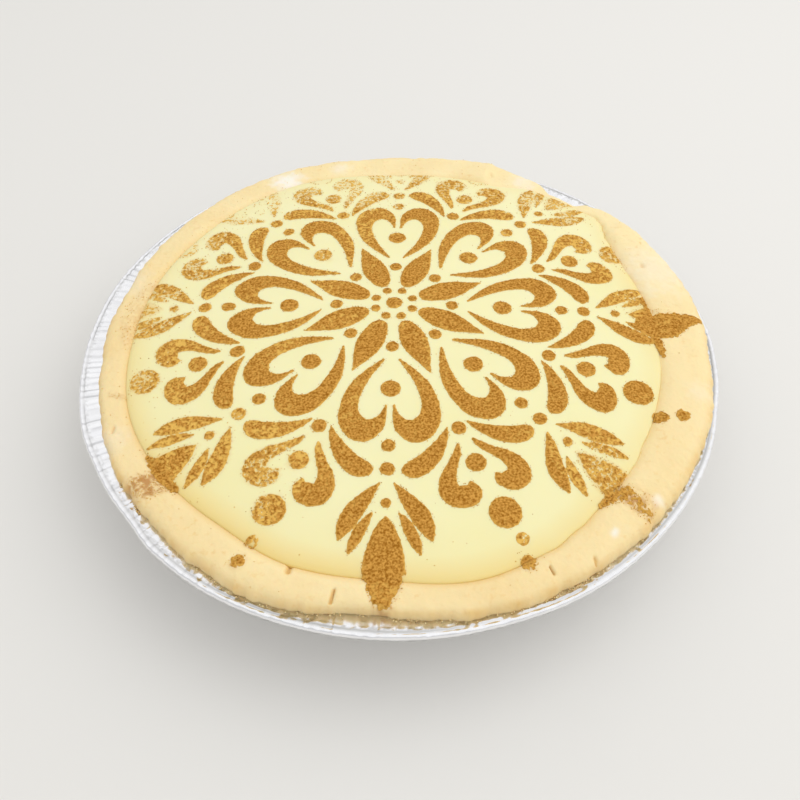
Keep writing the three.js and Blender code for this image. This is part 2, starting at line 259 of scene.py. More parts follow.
# Fine dust on the rim: share taken, then its spine as (x, y, half width)
DUST = (
    (1.2, ((-71.2, -63.4, 4), (-74.6, -64.6, 4.4), (-78.6, -64.6, 3.2))),
    (0.3, ((67, -67.5, 1.5), (70.5, -71.5, 2.6), (73.5, -75, 1.6))),
    (1.1, (
        (63.5, -70.3, 2.6), (67.3, -71.7, 2.6), (69.1, -74.3, 2.2), (70.9, -76.8, 1.6), (72.8, -79.4, 0.8),
    )),
    (0.5, ((-94, -29.5, 1), (-90, -30.5, 1))),
    (0.22, ((-89, 24, 2), (-93.5, 15, 3.5), (-95, 5, 3.5), (-93, -8, 2))),
    (0.8, ((-4.6, -97.5, 4.4), (-5, -102, 3), (-5.4, -105.4, 1.8))),
    (0.5, ((-45.5, -91.2, 1.6), (-44.4, -89.4, 1.6))),
    (0.5, ((35.6, -93, 1.4), (34.8, -90.5, 1.8))),
    (0.25, ((79, 36, 1.6), (82.5, 31.5, 1.6), (85, 27, 1))),
    (0.5, ((89.5, 5.5, 1), (95, 4.8, 0.6))),
    (0.6, ((-78.6, -70, 0.9), (-80.6, -69.2, 1.2))),
)

# Cinnamon powder and crumbs: millimetres, and shares
POWDER_GRID = 0.385
POWDER_HEIGHT = 0.34
POWDER_ROOT = 0.3
POWDER_LIFT = 0.04
LEAST_HEIGHT = 0.06
CUT_SHARES = (0.08, 0.92)
GRAIN_SIZE = 0.8
GRAIN_CONTRAST = 0.085
RIM_BROWN = 0.55
BRIDGE_REACH = 2.6
BRIDGE_LAP = 1.2
BRIDGE_SPREAD = 1.5
FRINGE_INSET = 1.2
CREASE_GAP = 0.05
CREASE_FILL = 0.4
CREASE_REACH = 1.1
FULL_COVER = 0.97
THIN_LAYER = 0.42
THIN_HAZE = 0.45
GRAIN_THROWS = 140000
GRAIN_REACH = 107.0
STRAY_SIDE = 140.0
STRAY_FROM = 60.0
STRAY_REACH = 40.0
GRAIN_RADIUS = (0.1, 0.22)
CRUMB_RADIUS = (0.14, 0.36)
LUMP_REACH = (0.6, 1.3)
LUMP_CORNERS = 6

# Runs of crumbs along the crust's outer edge: (from degrees, to degrees, how many, least golden)
CRUMB_RUNS = ((232, 315, 240, 0), (0, 360, 80, 0), (220, 223, 30, 0.5), (292, 303, 90, 0.2))

# Places where the sieve left less: (degrees, radius from the middle of the dish, reach, share lost)
THIN_PATCHES = (
    (106, 50, 9, 0.5), (112, 66, 8, 0.4), (100, 71, 9, 0.7), (107, 81, 10, 0.45), (94, 87, 9, 0.35),
    (89, 69, 5, 0.5), (131, 90, 13, 0.6), (110, 93, 8, 0.6), (152, 92, 9, 0.7), (68, 92, 6, 0.7),
    (41, 91, 6, 0.5), (53, 90, 6, 0.4), (70, 80, 12, 0.25), (174, 87, 10, 0.42), (158, 78, 8, 0.2),
    (49, 64, 4, 0.4), (90, 65, 4, 0.4), (129, 44, 4, 0.4), (130, 50, 18, 0.15), (58, 48, 16, 0.15),
    (235, 74, 15, 0.5), (240, 86, 9, 0.4), (216, 84, 14, 0.35), (218, 65, 4, 0.5), (30, 76, 10, 0.25),
    (314, 89, 12, 0.75), (318, 78, 9, 0.35), (21, 87, 8, 0.5), (7, 85, 8, 0.45), (196, 88, 7, 0.45),
    (292, 91, 3, 0.6), (46, 95, 6, 0.6), (243.5, 94, 3, 0.5),
)

# Far side of the rosette, where the sieve hardly reached: degrees, and millimetres from the rosette's centre
FAR_SIDE = 112.0
FAR_SPREAD = 125.0
FAR_FROM = 57.0
FAR_REACH = 27.0
FAR_LOSS = 0.76

# Noise layers: (height in millimetres or share, size of the lumps in millimetres, seed)
NOISE_CELLS = 256
CUSTARD_RIPPLE = ((0.16, 17.0, 31), (0.05, 5.0, 32))
CRUST_BREAKS = ((1.1, 9.0, 44), (0.8, 2.6, 45), (0.35, 1.0, 46))
CRUST_LUMPS = ((1.0, 16.0, 41), (0.4, 6.0, 42), (0.16, 2.2, 43), (0.1, 1.2, 47))
RIM_SWAY = ((0.5, 22.0, 71),)
FINE_CREASES = ((0.2, 1.1, 72),)
FLANGE_DIMPLES = ((0.3, 1.2, 75),)
BEAD_CRIMPS = ((0.16, 1.3, 73),)
FLOUR_EDGE = ((0.5, 1.6, 49),)
COVER_PATCHES = ((0.36, 13.0, 51),)
POWDER_LUMPS = ((0.14, 0.8, 64),)
EDGE_RAGGED = ((0.26, 1.0, 63), (0.26, 0.6, 65))
RIM_RAGGED = ((0.8, 1.0, 63), (0.8, 0.6, 65))
RIM_FRINGE = ((2.0, 1.0, 66),)

# Camera: pixels of an 800 by 800 picture for the lens, millimetres and degrees for its place
PICTURE = 800
FOCAL_PIXELS = 762.3
SENSOR = 36.0
CAMERA_PLACE = (0.09, -189.66, 225.33)
CAMERA_PITCH = 39.39
CAMERA_ROLL = -0.616

# Studio light and floor; lengths in metres
HORIZON_LIGHT = 0.62
ZENITH_LIGHT = 0.985
BACKDROP_LIGHT = 0.85
LIGHT_EDGE = 0.8
LIGHT_SIDE = (0.28, 0.1, 0.95)
LAMP_POWER = 1.8
LAMP_SIZE = 0.8
LAMP_PLACE = (0.5, 0.1, 0.75)
FLOOR_REACH = 4.0
FLOOR_DROP = 0.05 * MM

# Colours: linear red, green and blue, and opacity
PASTRY_PALE = (0.95, 0.785, 0.44, 1)
FLECK_PALE = (0.94, 0.77, 0.42, 1)
FLECK_DEEP = (0.85, 0.58, 0.23, 1)
PASTRY_GOLDEN = (0.78, 0.46, 0.12, 1)
FLOUR_WHITE = (0.96, 0.9, 0.78, 1)
PASTRY_DUST_AND_SHADE = (0.55, 0.26, 0.075, 1)
CUSTARD_PALE = (0.905, 0.86, 0.505, 1)
CUSTARD_DEEP = (0.895, 0.84, 0.455, 1)
# Colour of the custard's edge by the crust: part real deeper colour, part painted shade
CUSTARD_GOLDEN = (0.87, 0.66, 0.24, 1)
CUSTARD_DUST = (0.8, 0.5, 0.13, 1)
CINNAMON_PALE = (0.665, 0.335, 0.066, 1)
CINNAMON_DEEP = (0.325, 0.126, 0.0095, 1)
CINNAMON_THIN = (0.8, 0.49, 0.11, 1)
FOIL_BRIGHT = (0.97, 0.97, 0.985, 1)
FOIL_ROLLED = (0.93, 0.93, 0.95, 1)
# Colour of the painted shade on the foil
FOIL_PAINTED_SHADE = (0.36, 0.35, 0.32, 1)
FLOOR_PALE = (0.8, 0.785, 0.75, 1)
LIGHT_WHITE = (1.0, 1.0, 1.0, 1)


def around(stations, degrees):
    """Value of a ring at angles in degrees, eased between its stations."""
    at, value = np.array(stations + ((360, stations[0][1]),), float).T
    turn = np.mod(degrees, 360.0)
    before = np.clip(np.searchsorted(at, turn, side="right") - 1, 0, len(at) - 2)
    share = (turn - at[before]) / (at[before + 1] - at[before])
    return value[before] + ease(share) * (value[before + 1] - value[before])


def ease(share):
    """Smooth step of a share, held from 0 to 1."""
    held = np.clip(share, 0.0, 1.0)
    return held * held * (3.0 - 2.0 * held)


def noise(x, y, size, seed):
    """Smooth noise from 0 to 1 over the plane, with lumps of about the given size."""
    lattice = np.random.default_rng(seed).random((NOISE_CELLS, NOISE_CELLS))
    column, row = np.floor(x / size).astype(int), np.floor(y / size).astype(int)
    u, v = ease(x / size - column), ease(y / size - row)
    left, right = column % NOISE_CELLS, (column + 1) % NOISE_CELLS
    below, above = row % NOISE_CELLS, (row + 1) % NOISE_CELLS
    low = lattice[left, below] * (1 - u) + lattice[right, below] * u
    high = lattice[left, above] * (1 - u) + lattice[right, above] * u
    return low * (1 - v) + high * v


def uneven(x, y, layers):
    """Sum of noise layers that swing about nothing."""
    return sum(height * (noise(x, y, size, seed) - 0.5) for height, size, seed in layers)


def polar(x, y):
    """Radius and degrees of points over the dish."""
    return np.hypot(x, y), np.degrees(np.arctan2(y, x))


def spot(radius, degrees):
    """Points over the dish at radii and degrees."""
    turn = np.radians(degrees)
    return radius * np.cos(turn), radius * np.sin(turn)


def away(x, y, degrees, radius):
    """Distance of points from a place given by its degrees and radius."""
    middle_x, middle_y = spot(radius, degrees)
    return np.hypot(x - middle_x, y - middle_y)


def dome_height(x, y):
    """Height of the custard's skin before its rolled edge."""
    return DOME_TOP - DOME_FALL * (x ** 2 + y ** 2)


def custard_height(x, y):
    """Height of the custard's skin, with the edge rolled down towards the crust."""
    radius, degrees = polar(x, y)
    edge = around(CUSTARD_EDGE, degrees)
    roll = np.clip((radius - edge + ROLL_REACH) / ROLL_REACH, 0, 1)
    return dome_height(x, y) + uneven(x, y, CUSTARD_RIPPLE) - EDGE_ROLL * (1 - np.sqrt(1 - roll ** 2))


def crust_outer(degrees):
    """Radius of the rim's broken outer edge."""
    return around(CRUST_EDGE, degrees) + uneven(*spot(RIM_RADIUS, degrees), CRUST_BREAKS)


def slit_depth(x, y):
    """Depth of the slits and dents pressed in the rim."""
    depth = np.zeros(np.shape(x))
    for degrees, radius, half_length, lean, half_width, deep in SLITS:
        along_x, along_y = spot(1.0, degrees + lean)
        middle_x, middle_y = spot(radius, degrees)
        dx, dy = x - middle_x, y - middle_y
        run = np.maximum(np.abs(dx * along_x + dy * along_y) - half_length, 0)
        side = dx * along_y - dy * along_x
        depth = np.maximum(depth, deep * np.exp(-(run ** 2 + side ** 2) / half_width ** 2))
    return depth


def crust_height(x, y):
    """Height of the crust's top: a low uneven band between the custard and the flange."""
    radius, degrees = polar(x, y)
    inner = around(CUSTARD_EDGE, degrees)
    outer = crust_outer(degrees)
    share = np.clip((radius - inner) / (outer - inner), 0, 1)
    crease = dome_height(*spot(inner, degrees)) - EDGE_ROLL - CREASE_DROP
    rising = np.clip((CREST_START - share) / CREST_START, 0, 1)
    falling = np.clip((share - CREST_END) / (1 - CREST_END), 0, 1)
    level = around(CRUST_TOP, degrees) - CREST_FALL * share
    inside = crease + (level - crease) * (1 - rising ** INNER_CURVE[0]) ** (1 / INNER_CURVE[1])
    outside = LIP_TURN + (level - LIP_TURN) * (1 - falling ** OUTER_CURVE[0]) ** (1 / OUTER_CURVE[1])
    relief = uneven(x, y, CRUST_LUMPS) * np.sqrt(share * (1 - share)) * 2
    return np.where(share < CREST_START, inside, outside) + relief - slit_depth(x, y)


def placed(name, data):
    """New object in the scene."""
    body = bpy.data.objects.new(name, data)
    bpy.context.scene.collection.objects.link(body)
    return body


def piece(name, points, faces, material, node=None):
    """Closed mesh from millimetre points and triangle or quad rows, riding on the tart."""
    mesh = bpy.data.meshes.new(name)
    corners = np.concatenate([rows.ravel() for rows in faces])
    sizes = np.concatenate([np.full(len(rows), rows.shape[1]) for rows in faces])
    mesh.vertices.add(len(points))
    mesh.vertices.foreach_set("co", (points * MM).astype(np.float32).ravel())
    mesh.loops.add(len(corners))
    mesh.loops.foreach_set("vertex_index", corners.astype(np.int32))
    mesh.polygons.add(len(sizes))
    mesh.polygons.foreach_set("loop_start", (np.cumsum(sizes) - sizes).astype(np.int32))
    mesh.polygons.foreach_set("use_smooth", np.ones(len(sizes), bool))
    mesh.update(calc_edges=True)
    mesh.materials.append(material)
    body = placed(name, mesh)
    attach(body, "root")
    if node:
        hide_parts(node)
    return body


def mark(body, name, values):
    """Stores one number for each point of a piece, for its material to read."""
    attribute = body.data.attributes.new(name, "FLOAT", "POINT")
    attribute.data.foreach_set("value", np.asarray(values, np.float32))


def turned(rows, degrees):
    """Points and faces of a closed turned body from (radius, height) rows, axis to axis."""
    columns = len(degrees)
    radius = np.array([np.broadcast_to(reach, columns) for reach, level in rows])
    height = np.array([np.broadcast_to(level, columns) for reach, level in rows])
    x, y = spot(radius, degrees)
    ring = np.stack([x, y, height], axis=-1)[1:-1].reshape(-1, 3)
    points = np.vstack([[[0, 0, height[0, 0]], [0, 0, height[-1, 0]]], ring])
    column = np.arange(columns)
    following = (column + 1) % columns
    last = 2 + (len(rows) - 3) * columns
    quads = []
    for low in range(2, last, columns):
        high = low + columns
        quads.append(np.stack([low + column, low + following, high + following, high + column], axis=-1))
    below = np.stack([np.zeros(columns, int), 2 + following, 2 + column], axis=-1)
    above = np.stack([np.ones(columns, int), last + column, last + following], axis=-1)
    return points, [np.concatenate(quads), below, above]


def pleats(degrees):
    """Irregular crimping wave round the flange, about -1 to 1, and how much painted shade each pleat takes.
    """
    draw = np.random.default_rng(7)
    shift = draw.uniform(-PLEAT_SHIFT, PLEAT_SHIFT, PLEATS - 1)
    inner_edges = (np.arange(1, PLEATS) + shift) / PLEATS * 360.0
    edges = np.concatenate([[0.0], inner_edges, [360.0]])
    heights = draw.uniform(*PLEAT_SHARES, PLEATS)
    painted_shade_per_pleat = draw.random(PLEATS) ** 2
    which = np.clip(np.searchsorted(edges, degrees, side="right") - 1, 0, PLEATS - 1)
    share = (degrees - edges[which]) / (edges[which + 1] - edges[which])
    return heights[which] * (1 - np.abs(4 * np.mod(share - 0.25, 1) - 2)), painted_shade_per_pleat[which]


def foil_dish(material):
    """Foil dish with a flat base, fluted wall, crimped flange and rolled bead."""
    columns = PLEATS * PLEAT_COLUMNS
    degrees = np.arange(columns) * 360.0 / columns
    run = RIM_RADIUS * np.radians(degrees)
    wave = pleats(degrees)[0]
    rim = around(RIM_EDGE, degrees)
    sway = uneven(*spot(SWAY_RING, degrees), RIM_SWAY)
    sag = FRONT_SAG * ease(1.4 - np.abs(degrees - SAG_AT) / SAG_SPREAD)
    flange_start = MOUTH_RADIUS + MOUTH_BEND
    flange_end = rim - GROOVE_INSET - 0.2
    rows = [(0, 0), (BASE_HUB, 0), (BASE_RADIUS - 2, 0), (BASE_RADIUS - 0.6, 0.15)]

    def wall(inset, shares):
        for share in shares:
            reach = BASE_RADIUS + share * (MOUTH_RADIUS - BASE_RADIUS) - inset
            flute = WALL_FLUTE * wave * share * (1 - 0.4 * share)
            rows.append((reach + flute, WALL_FOOT + share * (FLANGE_HEIGHT - WALL_FOOT - 0.6)))

    def flange(lift, shares):
        for share in shares:
            reach = flange_start + share * (flange_end - flange_start)
            beside = ease(1.4 - flange_end + reach)
            creases = uneven(run, reach / 4, FINE_CREASES) + beside * uneven(run, reach, FLANGE_DIMPLES)
            tilt = (FLANGE_RISE + sway) * share - sag * (1 - share)
            swell = (PLEAT_HEIGHT * wave + creases) * ease(share / 0.2)
            rows.append((reach, FLANGE_HEIGHT + lift + swell + tilt))

    wall(0, np.linspace(0, 1, 5))
    flange(0, np.linspace(0, 1, 3))
    for angle in np.radians(np.linspace(*BEAD_TURNS)):
        crimp = 1 + BEAD_CRIMP * wave + uneven(run, 2 * angle + 0 * run, BEAD_CRIMPS)
        out = BEAD_HALF_WIDTH * (math.cos(angle) * crimp - 1)
        up = BEAD_RADIUS * math.sin(angle) * crimp
        rows.append((rim + out, BEAD_LEVEL + sway + up))
    groove = GROOVE_DEPTH * ease(1.6 * noise(run, 0 * run, 5.0, 74) - 0.4) - PLEAT_HEIGHT * wave
    rows.append((rim - GROOVE_INSET, FLANGE_HEIGHT + FOIL + FLANGE_RISE + sway - groove))
    flange(FOIL, 1 - np.linspace(0, 1, 14) ** 1.3)
    wall(FOIL, np.linspace(1, 0, 2))
    rows += [(BASE_RADIUS - 1.4, FOIL), (0, FOIL)]
    points, faces = turned(rows, degrees)
    mark_foil(piece("foil_dish", points, faces, material, "dish"), points)


def mark_foil(dish, points):
    """Marks painted shade on the foil: in and beside the groove, under the bead and on some pleats."""
    x, y, z = points.T
    reach, bearing = polar(x, y)
    inset = around(RIM_EDGE, bearing) - reach
    shade = around(GROOVE_SHADE, bearing)
    # Painted shade in the groove beside the bead
    groove = shade * np.exp(-((inset - GROOVE_INSET) / 0.5) ** 2)
    # Painted shade on the bead's underside, standing in for its reflection of the shaded floor
    under_bead = BEAD_PAINTED_SHADE * ease((BEAD_LEVEL + 0.2 - z) / 0.7) * (inset < 2 * BEAD_HALF_WIDTH)
    beside = ease(GROOVE_INSET + 1.8 - inset) * (inset > GROOVE_INSET)
    speckle = ease((noise(RIM_RADIUS * np.radians(bearing), inset, 0.8, 76) - 0.42) / 0.2)
    # Painted darker specks beside the groove, standing in for sparkling reflections
    painted_specks = SPECK_PAINTED_SHADE * shade * beside * speckle
    # Painted shade on some pleats, standing in for their differing reflections
    painted_pleat_shade = PLEAT_PAINTED_SHADE * pleats(np.mod(bearing, 360))[1] * (inset > GROOVE_INSET + 0.1)
    mark(dish, "painted_foil_shade", np.max([groove, under_bead, painted_specks, painted_pleat_shade], axis=0))


def pastry_crust(material):
    """Pastry case: base and wall inside the dish, and the uneven rim that lies over the flange."""
    degrees = np.arange(CRUST_COLUMNS) * 360.0 / CRUST_COLUMNS
    inner = around(CUSTARD_EDGE, degrees)
    outer = crust_outer(degrees)
    crease = dome_height(*spot(inner, degrees)) - EDGE_ROLL
    bottom = FOIL + GAP
    floor = CUSTARD_FLOOR - GAP
    mouth = MOUTH_RADIUS - FOIL - WALL_FLUTE - GAP
    rows = [(0, bottom), (PASTRY_HUB, bottom), (PASTRY_CORNER, bottom)]
    for share in np.linspace(0.25, 1, 4):
        reach = PASTRY_CORNER + share * (mouth - PASTRY_CORNER)
        rows.append((reach, bottom + share * (FLANGE_HEIGHT - 0.8 - bottom)))
    rows += [
        (mouth + 0.6, LIP_UNDERSIDE),
        (np.clip(outer - 1.4, mouth + 0.8, LIP_REACH), LIP_UNDERSIDE),
        (outer - 0.5, LIP_UNDERSIDE + 0.3),
        (outer - 0.1, (LIP_UNDERSIDE + LIP_TURN) / 2),
    ]
    for share in 0.5 + 0.5 * np.cos(np.linspace(0, np.pi, CRUST_ROWS)):
        reach = inner + share * (outer - inner)
        rows.append((reach, crust_height(*spot(reach, degrees))))
    for share in np.linspace(0.05, 1, 4):
        reach = inner - TUCK + share * (CUSTARD_CORNER + GAP - inner)
        rows.append((reach, crease - 1 + share * (floor - crease)))
    rows += [(PASTRY_HUB, floor - TUCK), (0, floor - TUCK)]
    points, faces = turned(rows, degrees)
    mark_crust(piece("pastry_crust", points, faces, material, "crust"), points)


def mark_crust(crust, points):
    """Marks where the crust is golden, at its crease (partly painted shade), slits and outer edge, where
    flour and dust lie, and painted shade in the deepest slits.
    """
    x, y, z = points.T
    reach, bearing = polar(x, y)
    inner = around(CUSTARD_EDGE, bearing)
    outer = around(CRUST_EDGE, bearing)
    across = np.clip((reach - inner) / (outer - inner), 0, 1)
    # Golden crease: part baked colour, part painted shade where the crust meets the custard
    crease = CREASE_GOLD_AND_SHADE * around(EDGE_GOLD_AND_SHADE, bearing) * ease(1 - np.abs(reach - inner) / CREASE_WIDTH)
    lip = ease((across - 0.8) / 0.2) * (0.2 + 0.8 * noise(x, y, 5.0, 48)) * (0.5 + 0.5 * noise(x, y, 1.3, 50))
    slits = slit_depth(x, y)
    baked = around(BAKED, bearing) + 0.16 * (noise(x, y, 9.0, 52) - 0.4)
    golden = np.max([crease, LIP_GOLD * lip, SLIT_GOLD * ease(slits / 0.9)], axis=0)
    mark(crust, "golden", np.clip(baked + golden, 0, 1))
    flour = np.zeros(len(points))
    edge = uneven(x, y, FLOUR_EDGE)
    for degrees, radius, spread, share in FLOUR:
        flour = np.maximum(flour, share * ease(1.1 - away(x, y, degrees, radius) / spread + edge))
    mark(crust, "flour", flour)
    # Painted shade in the deepest slits, in the dust colour; the dust attribute carries it with the real dust
    dust = SLIT_PAINTED_SHADE * ease((slits - 0.7) / 0.6)
    speckle = 0.15 + 0.85 * ease((noise(x, y, 0.8, 53) + 0.5 * noise(x, y, 2.6, 54) - 0.6) / 0.35)
    for share, stations in DUST:
        inside = ease((inside_stroke(x, y, stations) + 1.4) / 3)
        dust = np.maximum(dust, RIM_DUST * share * speckle * inside)
    mark(crust, "dust", dust * (z > LIP_UNDERSIDE + 0.5))


def custard_filling(material):
    """Set custard: a smooth dome whose edge rolls down into the crust."""
    degrees = np.arange(CUSTARD_COLUMNS) * 360.0 / CUSTARD_COLUMNS
    edge = around(CUSTARD_EDGE, degrees)
    rim = custard_height(*spot(edge, degrees))
    rows = [(0, CUSTARD_FLOOR)]
    for share in np.linspace(0, 0.9, 5):
        reach = CUSTARD_CORNER + share * (edge - CUSTARD_CORNER)
        rows.append((reach, CUSTARD_FLOOR + share * (rim - CUSTARD_FLOOR)))
    rows.append((edge + 0.3, rim - 0.6))
    for share in np.sin(np.linspace(np.pi / 2, 0, CUSTARD_ROWS)):
        rows.append((edge * share, custard_height(*spot(edge * share, degrees))))
    points, faces = turned(rows, degrees)
    filling = piece("custard_filling", points, faces, material, "custard")
    x, y, z = points.T
    reach, bearing = polar(x, y)
    inset = around(CUSTARD_EDGE, bearing) - reach
    # Deeper colour near the crust: part the custard's own colour, part painted shade at its rolled edge
    deep = 0.2 * ease(1 - inset / FAINT_REACH) + 0.8 * np.clip(1 - inset / STRONG_REACH, 0, 1)
    mark(filling, "near_crust", deep * around(EDGE_GOLD_AND_SHADE, bearing))
    taken = cover(x, y)
    haze = ease((inside_motifs(x, y) + 0.6) / 1.2) * ease((0.95 - taken) / 0.5) * ease((taken + 0.5) / 0.6)
    mark(filling, "dust", THIN_HAZE * haze * (z > CUSTARD_FLOOR + 1))


def spine(stations, steps=12):
    """Points along a stroke's spine with their half widths, on a smooth curve through its stations."""
    station = np.array(stations, float)
    ends = np.vstack([2 * station[0] - station[1], station, 2 * station[-1] - station[-2]])
    share = np.linspace(0, 1, steps, endpoint=False)[:, None]
    runs = []
    for index in range(len(station) - 1):
        a, b, c, d = ends[index:index + 4]
        bend = 2 * a - 5 * b + 4 * c - d
        twist = -a + 3 * b - 3 * c + d
        runs.append(0.5 * (2 * b + (c - a) * share + bend * share ** 2 + twist * share ** 3))
    return np.vstack(runs + [station[-1:]])


def inside_stroke(across, out, stations):
    """How far points lie inside a stroke, in millimetres; less than nothing outside it."""
    depth = np.full(across.shape, OUTSIDE)
    for x, y, half_width in spine(stations):
        depth = np.maximum(depth, half_width - np.hypot(across - x, out - y))
    return depth


def inside_dots(heart, between):
    """How far points lie inside the nearest of the rosette's dots."""
    depth = np.full(heart[0].shape, OUTSIDE)
    for ring, radius, is_between in DOTS:
        across, out = between if is_between else heart
        depth = np.maximum(depth, radius - np.hypot(across, out - ring))
    return depth


def inside_rim_dots(x, y):
    """How far points lie inside the nearest dot that fell at the rim."""
    return np.max([size - away(x, y, degrees, radius) for degrees, radius, size in RIM_DOTS], axis=0)


def inside_spills(x, y):
    """How far points lie inside the powder spilt over the crease and rim."""
    return np.max([inside_stroke(x, y, stations) for share, stations in SPILLS], axis=0)


def inside_motifs(x, y):
    """How far points lie inside the nearest motif of the rosette."""
    heart, between = fold(x, y)
    strokes = (HEART_STROKE, SIDE_LEAF, SCROLL, PALMETTE_OUTER, PALMETTE_INNER, PALMETTE_MIDDLE)
    depth = [inside_stroke(*heart, stations) for stations in strokes]
    return np.max(depth + [inside_stroke(*between, PETAL), inside_dots(heart, between)], axis=0)


def fold(x, y):
    """Points folded into half a sector: (across, out) from the heart's axis, then from the axis beside it."""
    slip = CENTRE_SLIP * (1 - ease(np.hypot(x - ROSETTE_X, y - ROSETTE_Y) / CENTRE_REACH))
    ring, bearing = polar(x - ROSETTE_X, y - ROSETTE_Y - slip)
    drift = ease((ring - DRIFT_FROM) / DRIFT_REACH)
    tips = ease((ring - TIPS_FROM) / TIPS_REACH)
    ahead = (drift * around(DRIFT_AHEAD, bearing) + tips * around(TIPS_AHEAD, bearing)) / np.maximum(ring, 1)
    start, full, fade, end = HEART_RINGS
    hearts = ease((ring - start) / (full - start)) * ease((end - ring) / (end - fade))
    ring = ring - drift * around(DRIFT_OUT, bearing) - hearts * around(HEART_DRIFT, bearing)
    turn = np.radians(bearing - ROSETTE_TURN + 90) - ahead
    sector = 2 * math.pi / SECTORS
    off = np.abs(turn - np.round(turn / sector) * sector)
    beside = sector / 2 - off
    return (ring * np.sin(off), ring * np.cos(off)), (ring * np.sin(beside), ring * np.cos(beside))


def cover(x, y):
    """How well the powder took: thin on the far side and in patches, and as marked on the rim."""
    ring, bearing = polar(x - ROSETTE_X, y - ROSETTE_Y)
    aside = np.abs(np.mod(bearing - FAR_SIDE + 180, 360) - 180)
    far_side = (0.5 + 0.5 * np.cos(np.pi * np.clip(aside / FAR_SPREAD, 0, 1))) ** 0.6
    on_custard = FULL_COVER - FAR_LOSS * far_side * ease((ring - FAR_FROM) / FAR_REACH)
    for degrees, radius, spread, loss in THIN_PATCHES:
        on_custard = on_custard - loss * np.exp(-(away(x, y, degrees, radius) / spread) ** 2)
    radius, degrees = polar(x, y)
    over = ease((radius - around(CUSTARD_EDGE, degrees)) / 2)
    patchy = uneven(x, y, COVER_PATCHES)
    taken = on_custard * (1 - over) + around(RIM_COVER, degrees) * over - patchy
    for share, stations in SPILLS:
        inside = ease((inside_stroke(x, y, stations) + 0.8) / 1.2)
        taken = taken + (np.maximum(share - 0.4 * patchy, taken) - taken) * inside
    return taken


def even_grain(x, y):
    """Fine grain from 0 to 1, each value about as common."""
    grain = 0.6 * noise(x, y, GRAIN_SIZE, 61) + 0.4 * noise(x, y, 0.5 * GRAIN_SIZE, 62)
    return 1 / (1 + np.exp((0.5 - grain) / GRAIN_CONTRAST))


def powder(name, depth, limit, taken, x, y, surface, material, ragged=EDGE_RAGGED, least=0.0):
    """Thin closed layer of powder inside a motif and a limit; bare where hardly any grains fell."""
    covered = 1.2 * (taken - even_grain(x, y) + THIN_LAYER)
    field = np.min([depth + uneven(x, y, ragged), limit, covered], axis=0)
    top, triangles, field_at = cut_by_field(x, y, field)
    px, py = top.T
    full = ease((cover(px, py) - even_grain(px, py)) / 0.4 + 0.6) * ease(0.3 + field_at / 0.7)
    height = POWDER_HEIGHT * (0.3 + 0.7 * full) * ease(0.3 + field_at / 0.5)
    height = np.maximum(height + uneven(px, py, POWDER_LUMPS), LEAST_HEIGHT)
    level = surface(px, py)
    above = np.column_stack([top, level + height])
    under = np.column_stack([top, level - POWDER_ROOT])
    points, faces = closed_layer(above, under, triangles)
    layer = piece(name, points, faces, material)
    mark(layer, "thickness", np.tile(np.maximum(full, least), 2))


def cut_by_field(x, y, field):
    """Triangles of a staggered grid, cut along the line where the field is nothing."""
    rows, columns = x.shape
    index = np.arange(rows * columns).reshape(rows, columns)
    a, b, c, d = index[:-1, :-1], index[:-1, 1:], index[1:, :-1], index[1:, 1:]
    odd = (np.arange(rows - 1) % 2 == 1)[:, None, None]
    lower = np.where(odd, np.stack([a, b, d], -1), np.stack([a, b, c], -1)).reshape(-1, 3)
    upper = np.where(odd, np.stack([a, d, c], -1), np.stack([b, d, c], -1)).reshape(-1, 3)
    triangles = np.concatenate([lower, upper])
    value = field.ravel()
    kept = value > 0
    count = kept[triangles].sum(1)
    whole = triangles[count == 3]
    one = turned_first(triangles[count == 1], kept, True)
    two = turned_first(triangles[count == 2], kept, False)
    pairs = np.concatenate([one[:, [0, 1]], one[:, [0, 2]], two[:, [1, 0]], two[:, [2, 0]]])
    keys, which = np.unique(pairs[:, 0].astype(np.int64) * value.size + pairs[:, 1], return_inverse=True)
    inner, outer = keys // value.size, keys % value.size
    share = np.clip(value[inner] / (value[inner] - value[outer]), *CUT_SHARES)
    flat = np.column_stack([x.ravel(), y.ravel()])
    cuts = flat[inner] + share[:, None] * (flat[outer] - flat[inner])
    ends = np.cumsum([len(one), len(one), len(two)])
    first, second, third, fourth = np.split(which.ravel() + value.size, ends)
    tips = np.column_stack([one[:, 0], first, second])
    bands = np.concatenate([
        np.column_stack([two[:, 1], two[:, 2], fourth]),
        np.column_stack([two[:, 1], fourth, third]),
    ])
    triangles = np.concatenate([whole, tips, bands])
    used, renamed = np.unique(triangles, return_inverse=True)
    points = np.vstack([flat, cuts])[used]
    values = np.concatenate([value, np.zeros(len(cuts))])[used]
    return points, renamed.reshape(-1, 3), values


def turned_first(triangles, kept, wanted):
    """Triangles turned so that their odd corner, kept or not, comes first."""
    odd = np.argmax(kept[triangles] == wanted, axis=1)
    order = (odd[:, None] + np.arange(3)) % 3
    return np.take_along_axis(triangles, order, axis=1)


def closed_layer(above, under, triangles):
    """Points and faces of a layer between two like sheets, walled round its edges."""
    total = len(above)
    edges = np.concatenate([triangles[:, [0, 1]], triangles[:, [1, 2]], triangles[:, [2, 0]]])
    forward = edges[:, 0].astype(np.int64) * total + edges[:, 1]
    backward = edges[:, 1].astype(np.int64) * total + edges[:, 0]
    border = edges[~np.isin(forward, backward)]
    walls = np.column_stack([border[:, 1], border[:, 0], border[:, 0] + total, border[:, 1] + total])
    return np.vstack([above, under]), [triangles, triangles[:, ::-1] + total, walls]


